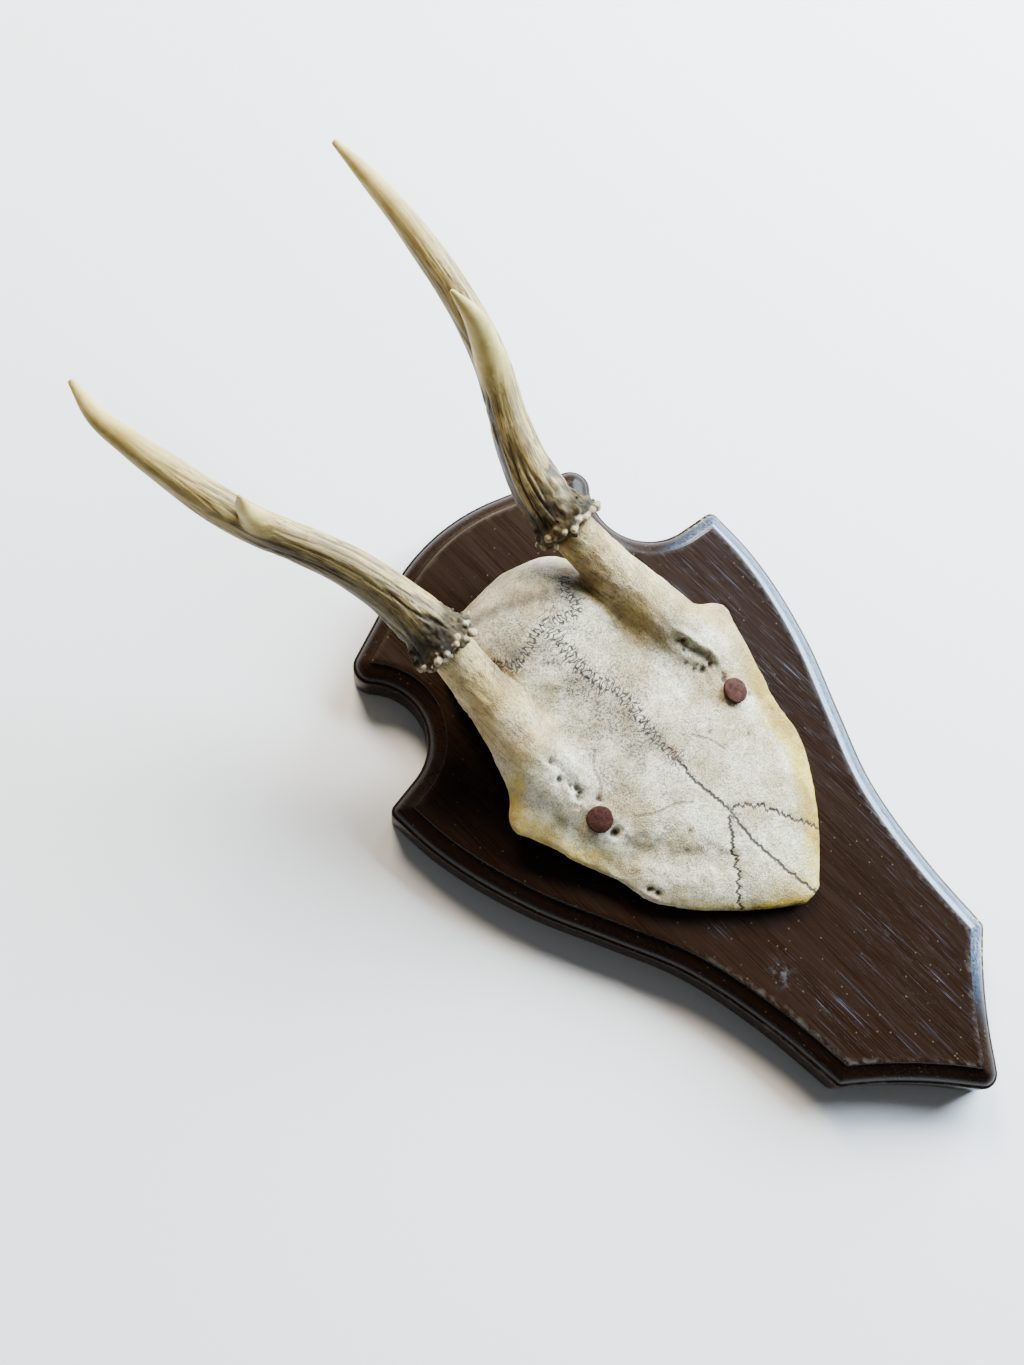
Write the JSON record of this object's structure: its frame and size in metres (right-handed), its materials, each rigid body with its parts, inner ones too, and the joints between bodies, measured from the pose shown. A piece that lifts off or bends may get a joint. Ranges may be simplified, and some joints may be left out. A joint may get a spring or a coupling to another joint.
{
  "type": "roe deer antler mount",
  "caption": "Skull plate with two forked antlers, nailed flat to a dark moulded wooden shield that hangs on a wall.",
  "frame": {"origin": "the back_face mount: on the shield's flat back, on its centre line and midway between crown and tip", "axes": "+X to the viewer's right, +Y to the top of the shield, +Z out of the shield towards the viewer"},
  "size_m": [0.1324, 0.2984, 0.0864],
  "materials": {
    "stained_oak": "dark brown-black stain with worn semi-gloss varnish",
    "skull_bone": "bleached bone with fine pores, sutures and yellow fat stains",
    "antler": "furrowed antler, dark grey at the burr and pale at the tips",
    "nail_rust": "dull rust brown"
  },
  "bodies": {
    "root": {"shield": "stained_oak", "skull_plate": "skull_bone", "antler_left_beam": "antler", "antler_left_tine": "antler", "antler_right_beam": "antler", "antler_right_tine": "antler", "nail_left": "nail_rust", "nail_right": "nail_rust"}
  },
  "joints": []
}
